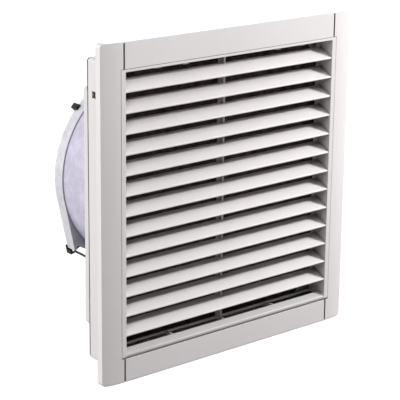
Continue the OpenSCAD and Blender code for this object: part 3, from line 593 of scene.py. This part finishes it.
def lacquered_casting(name, colour, rim_highlight_colour):
    material, tree, shader = new_material(name, metallic=0.25, specular=0.4, coat=0.15)
    shader.inputs["Coat Roughness"].default_value = 0.3
    skin = place_group(
        tree,
        metal_skin,
        {
            "Colour": colour,
            "Dull colour": lighter(colour, 0.8),
            "Mark scale": 900.0,
            "Roughness": 0.42,
            "Spread": 0.1,
        },
    )
    outward = place_in_object(tree)
    for operation, by in (("SUBTRACT", fan_centre), ("MULTIPLY", across_axis)):
        step = tree.nodes.new("ShaderNodeVectorMath")
        step.operation = operation
        tree.links.new(outward, step.inputs[0])
        step.inputs[1].default_value = by
        outward = step.outputs["Vector"]
    radius = tree.nodes.new("ShaderNodeVectorMath")
    radius.operation = "LENGTH"
    tree.links.new(outward, radius.inputs[0])
    # Painted highlight: the rim band is lighter, in patches.
    on_rim = remap(tree, radius.outputs["Value"], rim_radius - rim_blend, rim_radius, 0.0, 1.0)
    cloud = noise(tree, 130.0, detail=4.0, roughness=0.6)
    highlight_patches = remap(tree, cloud.outputs["Fac"], 0.35, 0.65, 0.35, 1.0)
    bright = calculate(tree, "MULTIPLY", on_rim, highlight_patches)
    stained = remap(tree, cloud.outputs["Fac"], 0.3, 0.75, 0.86, 1.1)
    mottled = tree.nodes.new("ShaderNodeHueSaturation")
    tree.links.new(skin.outputs["Colour"], mottled.inputs["Color"])
    tree.links.new(stained, mottled.inputs["Value"])
    skin_colour = mix_colour(tree, bright, mottled.outputs["Color"], rim_highlight_colour)
    # Painted shade: occlusion darkens the lacquer in the housing's hollows.
    recess = shade_occlusion(tree, housing_shade_reach, False)
    openness = remap(tree, recess.outputs["AO"], housing_shade_full_at, housing_shade_none_at, 0.0, 1.0)
    shaded = mix_colour(tree, openness, lighter(colour, 0.2), skin_colour)
    tree.links.new(shaded, shader.inputs["Base Color"])
    tree.links.new(skin.outputs["Roughness"], shader.inputs["Roughness"])
    bumped(tree, shader, skin.outputs["Height"], 0.15, 0.0003)
    return material


dress(lacquered_casting("lacquered_housing_casting", housing_grey, rim_highlight_grey), "fan_housing")


# Zinc-plated pan-head screws fix the fan to the base and the motor to the hub. The
# earth screw is brass.

zinc_grey = (0.60, 0.60, 0.58, 1.0)
brass = (0.70, 0.52, 0.25, 1.0)

dress(
    bare_metal("zinc_plated_steel", zinc_grey, roughness=0.3, spread=0.08, marks=700.0),
    "housing_screws",
    "motor_screws",
    "terminal_screws",
)
dress(bare_metal("plain_brass", brass, roughness=0.3, marks=600.0), "earth_screw")


# The motor's flange and bearing tube are one aluminium casting, turned where the
# bearings sit. The stator is a stack of varnished sheets with enamelled wire in its
# slots, and the rotor's own stack faces it from inside the can.

aluminium = (0.55, 0.55, 0.56, 1.0)
varnish_grey = (0.20, 0.20, 0.22, 1.0)
enamelled_copper = (0.50, 0.17, 0.05, 1.0)
bearing_grey = (0.62, 0.62, 0.63, 1.0)

dress(bare_metal("turned_aluminium", aluminium, roughness=0.36, marks=900.0), "motor_flange")


def sheet_stack(name, colour):
    material, tree, shader = new_material(name, metallic=0.8)
    waves = tree.nodes.new("ShaderNodeTexWave")
    waves.bands_direction = "Y"
    waves.inputs["Scale"].default_value = 320.0
    tree.links.new(place_in_object(tree), waves.inputs["Vector"])
    sheets = waves.outputs["Fac"]
    tree.links.new(mix_colour(tree, sheets, lighter(colour, 0.5), colour), shader.inputs["Base Color"])
    tree.links.new(remap(tree, sheets, 0.0, 1.0, 0.6, 0.35), shader.inputs["Roughness"])
    bumped(tree, shader, sheets, 0.5, 0.0002)
    return material


def wound_wire(name, colour):
    material, tree, shader = new_material(name, metallic=0.7, specular=0.6, coat=0.5)
    waves = tree.nodes.new("ShaderNodeTexWave")
    waves.wave_type = "RINGS"
    waves.rings_direction = "Y"
    waves.inputs["Scale"].default_value = 260.0
    waves.inputs["Distortion"].default_value = 1.2
    tree.links.new(place_in_object(tree), waves.inputs["Vector"])
    turns = waves.outputs["Fac"]
    shade = mix_colour(tree, turns, lighter(colour, 0.35), lighter(colour, 1.3))
    tree.links.new(shade, shader.inputs["Base Color"])
    tree.links.new(remap(tree, turns, 0.0, 1.0, 0.5, 0.22), shader.inputs["Roughness"])
    bumped(tree, shader, turns, 0.9, 0.0004)
    return material


dress(sheet_stack("varnished_sheet_stack", varnish_grey), "stator_core", "rotor_core")
dress(wound_wire("enamelled_copper_wire", enamelled_copper), "stator_windings")
dress(
    bare_metal("ground_bearing_steel", bearing_grey, dull=0.8, roughness=0.2, spread=0.06, marks=900.0),
    "bearing_front",
    "bearing_rear",
    "motor_shaft",
)


# The rotor can and the blades welded round it are steel, stove-enamelled black. Dust
# dulls the lacquer on the blades.

enamel_black = (0.02, 0.02, 0.022, 1.0)
dust_grey = (0.16, 0.155, 0.15, 1.0)


def stove_enamel(name, colour, roughness):
    material, tree, shader = new_material(name, specular=0.55, coat=0.3)
    shader.inputs["Coat Roughness"].default_value = 0.25
    peel = noise(tree, 700.0, detail=2.0)
    dust = noise(tree, 55.0, detail=6.0, roughness=0.7)
    amount = remap(tree, dust.outputs["Fac"], 0.45, 0.8, 0.0, 0.35)
    tree.links.new(mix_colour(tree, amount, colour, dust_grey), shader.inputs["Base Color"])
    rough = remap(tree, dust.outputs["Fac"], 0.3, 0.8, roughness, roughness + 0.25)
    tree.links.new(rough, shader.inputs["Roughness"])
    bumped(tree, shader, peel.outputs["Fac"], 0.15, 0.0002)
    return material


dress(stove_enamel("enamelled_rotor_can", enamel_black, 0.32), "rotor_can")
dress(stove_enamel("enamelled_blades", lighter(enamel_black, 1.4), 0.38), "impeller")


# The guard is bright-plated wire, welded flat. Black clips with push rivets hold it on
# the rim, and a black clip ties the cable to the lug. The terminal block is pale.

plated_grey = (0.66, 0.66, 0.67, 1.0)
clip_black = (0.02, 0.019, 0.019, 1.0)
terminal_white = (0.62, 0.62, 0.59, 1.0)

dress(
    bare_metal("plated_guard_wire", plated_grey, dull=0.8, roughness=0.18, spread=0.06, marks=1200.0),
    "finger_guard",
)
dress(
    moulded_plastic("black_clip_plastic", clip_black, edge=0.0004, specular=0.15),
    "guard_clips",
    "cable_clip",
)
dress(
    moulded_plastic("terminal_white_plastic", terminal_white, roughness=0.42, edge=0.0004),
    "terminal_block",
)


# The motor cable has a round black jacket. It runs from the hub through the channel in
# a strut, round the lug, and forward to the supply terminals.

cable_route_in_mm = (
    (-11, 110.3, -15), (-11.2, 113, -15.2), (-12.4, 115.8, -16.4), (-15, 117.6, -19), (-19, 118, -23),
    (-28, 118, -32), (-38, 118, -42), (-48, 118, -52), (-58, 118, -62), (-67, 118, -71),
    (-75, 118.2, -78.4), (-80.5, 118.4, -82), (-84.5, 118, -83.6), (-87, 116, -84), (-88, 112.6, -84),
    (-88, 106, -84), (-88, 98, -84.2), (-88, 90, -84.8), (-88, 82, -86.2), (-88.4, 74, -88.4),
    (-89.4, 66, -91), (-91, 58, -93.8), (-93, 50, -96.4), (-95, 42, -98.4), (-96.6, 35, -99.4),
    (-97.6, 29, -99.6), (-98.6, 24.4, -99.8), (-100.4, 21.4, -100.8), (-103.4, 20.5, -103.4),
    (-107, 20.5, -107), (-110.6, 20.5, -110.6),
)
cable_radius = 0.00119
sheath_black = (0.02, 0.022, 0.022, 1.0)
mm_per_metre = 1000


def jacket_tube():
    deselected()
    line = bpy.data.curves.new("motor_cable_jacket", "CURVE")
    line.dimensions = "3D"
    line.bevel_depth = cable_radius
    line.bevel_resolution = 6
    line.resolution_u = 5
    line.use_fill_caps = True
    spline = line.splines.new("NURBS")
    spline.points.add(len(cable_route_in_mm) - 1)
    for point, (x, y, z) in zip(spline.points, cable_route_in_mm):
        point.co = (x / mm_per_metre, y / mm_per_metre, z / mm_per_metre, 1.0)
    spline.use_endpoint_u = True
    spline.order_u = 4
    tube = bpy.data.objects.new("motor_cable_jacket", line)
    bpy.context.scene.collection.objects.link(tube)
    tube.select_set(True)
    bpy.context.view_layer.objects.active = tube
    bpy.ops.object.convert(target="MESH")
    tube = bpy.context.object
    bpy.ops.object.shade_smooth()
    return tube


def cable_sheath(name, colour):
    material, tree, shader = new_material(name, specular=0.4)
    scuffs = noise(tree, 260.0, detail=5.0, roughness=0.65)
    amount = remap(tree, scuffs.outputs["Fac"], 0.45, 0.75, 0.0, 0.5)
    tree.links.new(mix_colour(tree, amount, colour, lighter(colour, 2.6)), shader.inputs["Base Color"])
    tree.links.new(remap(tree, scuffs.outputs["Fac"], 0.3, 0.7, 0.4, 0.62), shader.inputs["Roughness"])
    bumped(tree, shader, scuffs.outputs["Fac"], 0.12, 0.0002)
    return material


cable_jacket = jacket_tube()
cable_jacket.data.materials.append(cable_sheath("black_cable_sheath", sheath_black))
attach(cable_jacket, "frame")
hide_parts("motor_cable")


# A plain pale floor lies under the lower edge of the cover, with a white room round it.
# Both look white, and little of that light falls on the fan.

floor_size = 12.0
floor_gap = 0.0005
floor_colour = (0.25, 0.25, 0.25, 1.0)
floor_glow = 0.86
white = (1.0, 1.0, 1.0, 1.0)
room_fill = (0.93, 0.95, 1.0, 1.0)
room_fill_strength = 0.05


def background_seen(tree):
    """1 where the camera, a reflection or a look through glass meets the background."""
    path = tree.nodes.new("ShaderNodeLightPath")
    seen = calculate(tree, "MAXIMUM", path.outputs["Is Camera Ray"], path.outputs["Is Glossy Ray"])
    return calculate(tree, "MAXIMUM", seen, path.outputs["Is Transmission Ray"])


def pale_floor():
    deselected()
    bpy.ops.mesh.primitive_plane_add(size=floor_size, location=(0.0, 0.0, cad_low.z - floor_gap))
    ground = bpy.context.object
    ground.name = "pale_floor"
    material, tree, shader = new_material("pale_floor_paper", specular=0.1)
    shader.inputs["Base Color"].default_value = floor_colour
    shader.inputs["Roughness"].default_value = 0.95
    glow = calculate(tree, "MULTIPLY", background_seen(tree), floor_glow)
    tree.links.new(glow, shader.inputs["Emission Strength"])
    shader.inputs["Emission Color"].default_value = white
    finished(ground)
    ground.data.materials.append(material)
    return ground


ground = pale_floor()

world = bpy.data.worlds.new("white_room")
bpy.context.scene.world = world
world.use_nodes = True
room = world.node_tree
room.nodes.clear()
soft_fill = room.nodes.new("ShaderNodeBackground")
soft_fill.inputs["Color"].default_value = room_fill
soft_fill.inputs["Strength"].default_value = room_fill_strength
seen_white = room.nodes.new("ShaderNodeBackground")
seen_white.inputs["Color"].default_value = white
seen_white.inputs["Strength"].default_value = 1.0
choice = room.nodes.new("ShaderNodeMixShader")
room.links.new(background_seen(room), choice.inputs["Fac"])
room.links.new(soft_fill.outputs["Background"], choice.inputs[1])
room.links.new(seen_white.outputs["Background"], choice.inputs[2])
out = room.nodes.new("ShaderNodeOutputWorld")
room.links.new(choice.outputs["Shader"], out.inputs["Surface"])


# Four lamps: the small key stands at the upper right in front, and a broad one at the
# left lights the side of the cover. Weak ones fill from above and from behind.

front_middle = (0.0, -0.036, 0.0)
body_middle = (0.0, 0.03, 0.0)
fan_middle = (0.0, 0.06, 0.0)


def soft_lamp(name, place, target, size, power):
    lamp = bpy.data.lights.new(name, "AREA")
    lamp.shape = "SQUARE"
    lamp.size = size
    lamp.energy = power
    holder = bpy.data.objects.new(name, lamp)
    holder.location = place
    holder.rotation_mode = "QUATERNION"
    holder.rotation_quaternion = (Vector(target) - Vector(place)).to_track_quat("-Z", "Y")
    bpy.context.scene.collection.objects.link(holder)


soft_lamp("key_lamp", (0.82, -0.6, 0.57), front_middle, size=0.12, power=13.7)
soft_lamp("upper_lamp", (-0.4, -0.7, 1.1), front_middle, size=0.8, power=7.0)
soft_lamp("left_lamp", (-1.9, 0.38, 0.5), body_middle, size=0.9, power=34.0)
soft_lamp("rear_lamp", (1.5, 1.6, 0.9), fan_middle, size=0.9, power=14.0)


# The camera stands where the photograph was taken from: a little to the left of the
# fan and above it, with a long lens.

camera_place = Vector((-0.9414, -1.1349, 0.4366))
camera_yaw = math.radians(39.29)
camera_pitch = math.radians(15.57)
camera_roll = math.radians(0.62)
focal_length = 136.52
rise = -0.1

ahead = Vector((
    math.sin(camera_yaw) * math.cos(camera_pitch),
    math.cos(camera_yaw) * math.cos(camera_pitch),
    -math.sin(camera_pitch),
))
level_right = Vector((math.cos(camera_yaw), -math.sin(camera_yaw), 0.0))
level_up = level_right.cross(ahead)
right = math.cos(camera_roll) * level_right + math.sin(camera_roll) * level_up
up = -math.sin(camera_roll) * level_right + math.cos(camera_roll) * level_up
lens = bpy.data.cameras.new("photograph_view")
lens.sensor_width = 36.0
lens.lens = focal_length
lens.shift_y = rise
lens.clip_start = 0.05
lens.clip_end = 60.0
camera = bpy.data.objects.new("photograph_view", lens)
camera.matrix_world = Matrix((
    (right.x, up.x, -ahead.x, camera_place.x),
    (right.y, up.y, -ahead.y, camera_place.y),
    (right.z, up.z, -ahead.z, camera_place.z),
    (0.0, 0.0, 0.0, 1.0),
))
bpy.context.scene.collection.objects.link(camera)
bpy.context.scene.camera = camera
bpy.context.scene.view_settings.view_transform = "Standard"
